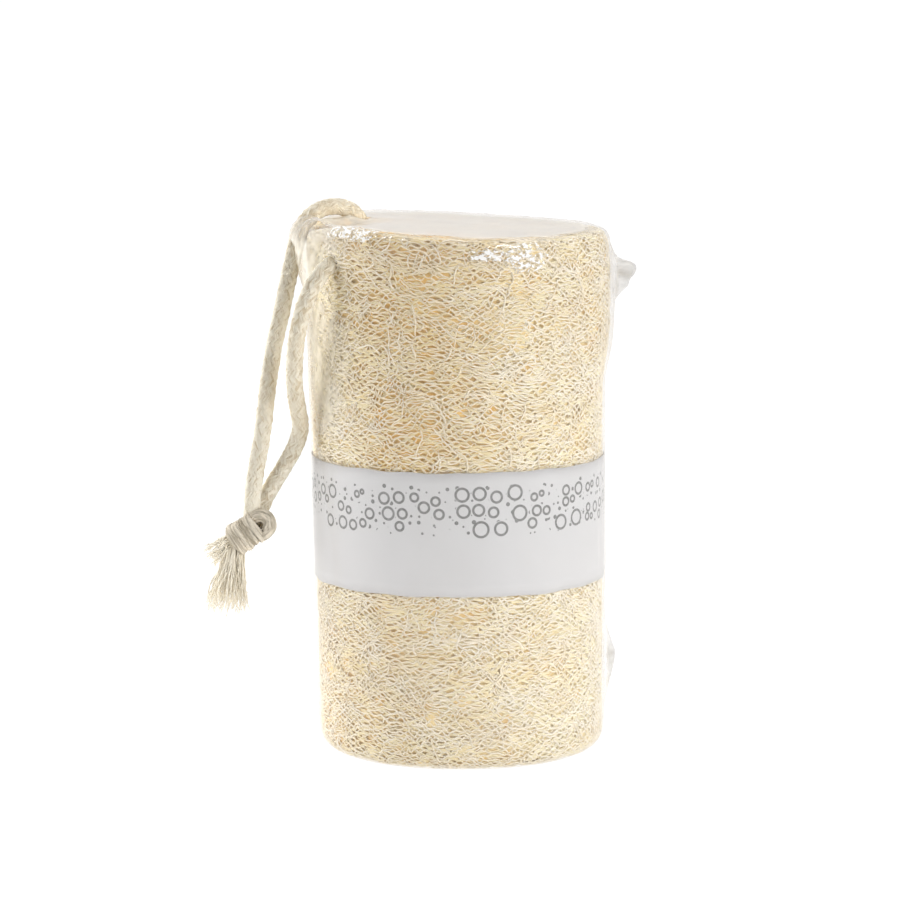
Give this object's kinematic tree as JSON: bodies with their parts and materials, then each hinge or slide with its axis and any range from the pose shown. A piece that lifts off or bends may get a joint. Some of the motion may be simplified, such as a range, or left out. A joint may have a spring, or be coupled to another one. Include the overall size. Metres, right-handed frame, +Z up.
{
  "type": "loofah bath sponge",
  "caption": "Natural loofah bath sponge, an upright cylinder of pale plant fibre with a white paper band, clear shrink film and a knotted cotton hanging cord.",
  "frame": {"origin": "centre of the flat base of the wrapped sponge, on the surface it stands on", "axes": "+Z up along the sponge's length, -Y towards the front with the hanging cord on the -X side, +X to the gathered film ears"},
  "size_m": [0.1142, 0.079, 0.1476],
  "materials": {
    "loofah_fibre": "matte",
    "cotton_cord": "matte",
    "white_paper": "matte",
    "clear_film": "gloss"
  },
  "bodies": {
    "root": {"loofah_sponge": "loofah_fibre", "hanging_cord": "cotton_cord", "cord_knot": "cotton_cord", "cord_tail_long": "cotton_cord", "cord_tail_short": "cotton_cord", "paper_band": "white_paper", "shrink_film": "clear_film"}
  },
  "joints": []
}
